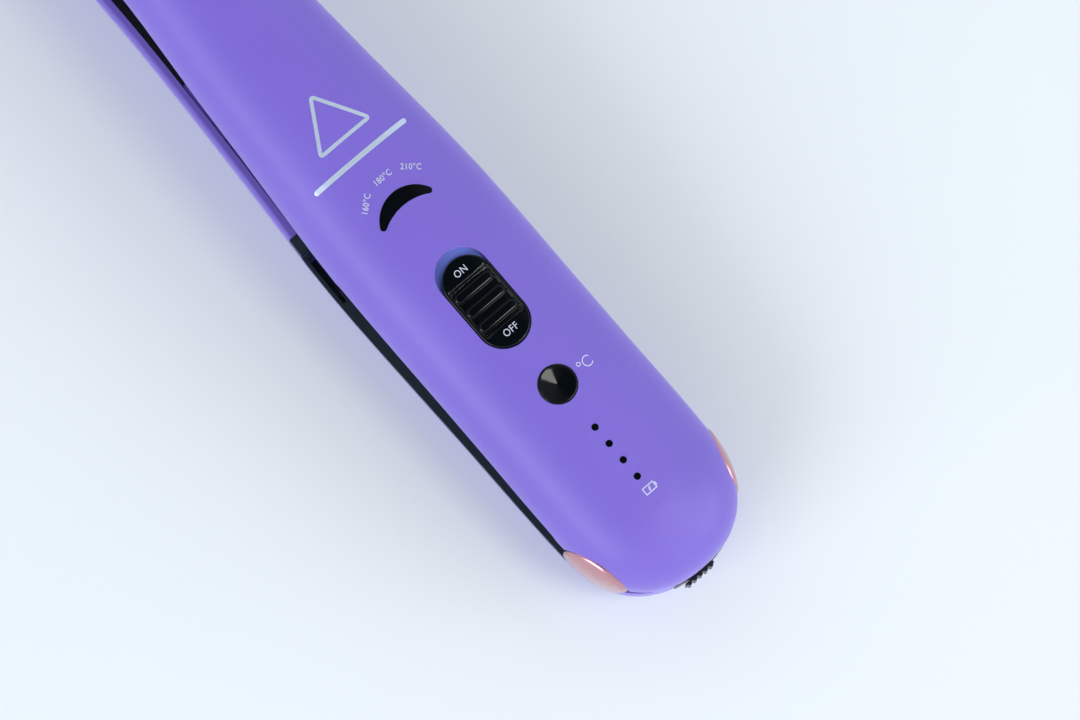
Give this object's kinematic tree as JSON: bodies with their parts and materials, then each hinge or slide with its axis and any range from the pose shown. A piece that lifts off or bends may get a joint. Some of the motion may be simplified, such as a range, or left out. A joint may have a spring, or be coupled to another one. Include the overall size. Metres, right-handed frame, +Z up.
{
  "type": "flat iron",
  "caption": "Cordless hair flat iron: two hinged arms with heated plates, on/off slider, temperature button, status lights and a sliding lock at the rear.",
  "frame": {"origin": "On the flat rest face under the lower arm, straight below the hinge axis.", "axes": "+X along the iron from the hinge to the tip, +Y to the left-hand side seen from the rear, +Z up from the rest face to the controls."},
  "size_m": [0.2565, 0.0394, 0.0554],
  "materials": {
    "purple_shell": "soft-touch satin, painted purple",
    "dark_shell": "fine matt, dark grey",
    "black_plastic": "satin black",
    "black_gloss": "high gloss black",
    "rose_gold": "metallic rose-gold lacquer",
    "plate_coating": "smooth ceramic coating, grey",
    "steel": "plain drawn",
    "nickel": "nickel plated",
    "brass": "turned",
    "screw_black": "black zinc",
    "ceramic": "sintered ceramic",
    "carrier_plastic": "heat-proof moulding, natural",
    "silicone": "soft matt",
    "cell_wrap": "heat-shrink sleeve",
    "board_green": "solder resist",
    "lamp_white": "moulded lamp",
    "wire_red": "silicone insulation"
  },
  "bodies": {
    "lower_arm": {"lower_shell": "purple_shell", "lower_inner_shell": "dark_shell", "lower_neck_cover": "purple_shell", "battery_cell": "cell_wrap", "battery_contacts": "nickel", "lower_plate": "plate_coating", "lower_plate_frame": "black_plastic", "lower_heater": "ceramic", "lower_insulator": "carrier_plastic", "charge_port": "nickel", "charge_port_tongue": "black_plastic", "charge_board": "board_green", "hinge_pin": "steel", "hinge_cap_left": "rose_gold", "hinge_cap_right": "rose_gold", "arm_spring": "steel", "lock_track": "black_plastic", "lower_screws": "screw_black", "lower_wires": "wire_red"},
    "upper_arm": {"upper_shell": "purple_shell", "upper_inner_shell": "dark_shell", "hinge_bushes": "brass", "upper_plate_frame": "black_plastic", "plate_stops": "silicone", "control_board": "board_green", "slide_switch": "nickel", "tactile_switch": "nickel", "temperature_window": "black_gloss", "temperature_leds": "lamp_white", "battery_light_pipes": "black_gloss", "battery_leds": "lamp_white", "upper_screws": "screw_black", "upper_wires": "wire_red"},
    "floating_plate": {"upper_plate": "plate_coating", "upper_heater": "ceramic", "upper_insulator": "carrier_plastic", "thermal_fuse": "ceramic"},
    "power_slider": {"power_slider": "black_gloss"},
    "temp_button": {"temp_button": "black_gloss"},
    "lock_slider": {"lock_slider": "black_plastic"}
  },
  "joints": [
    {"name": "arm_hinge", "type": "hinge", "parent": "lower_arm", "child": "upper_arm", "pos_m": [0, 0, 0.016], "axis": [0, 1, 0], "range_deg": [0, 7], "stiffness_Nm_per_rad": 0.5, "springref_deg": -28.65},
    {"name": "plate_float", "type": "slide", "parent": "upper_arm", "child": "floating_plate", "axis": [-0.1219, 0, 0.9925], "range_m": [0, 0.0008], "stiffness_N_per_m": 4000, "springref_m": -0.0004},
    {"name": "power_slide", "type": "slide", "parent": "upper_arm", "child": "power_slider", "axis": [0.9925, 0, 0.1219], "range_m": [0, 0.002]},
    {"name": "temp_press", "type": "slide", "parent": "upper_arm", "child": "temp_button", "axis": [0.1219, 0, -0.9925], "range_m": [0, 0.0006], "stiffness_N_per_m": 900, "springref_m": -0.0003},
    {"name": "lock_slide", "type": "slide", "parent": "lower_arm", "child": "lock_slider", "axis": [0, -1, 0], "range_m": [0, 0.003]}
  ]
}
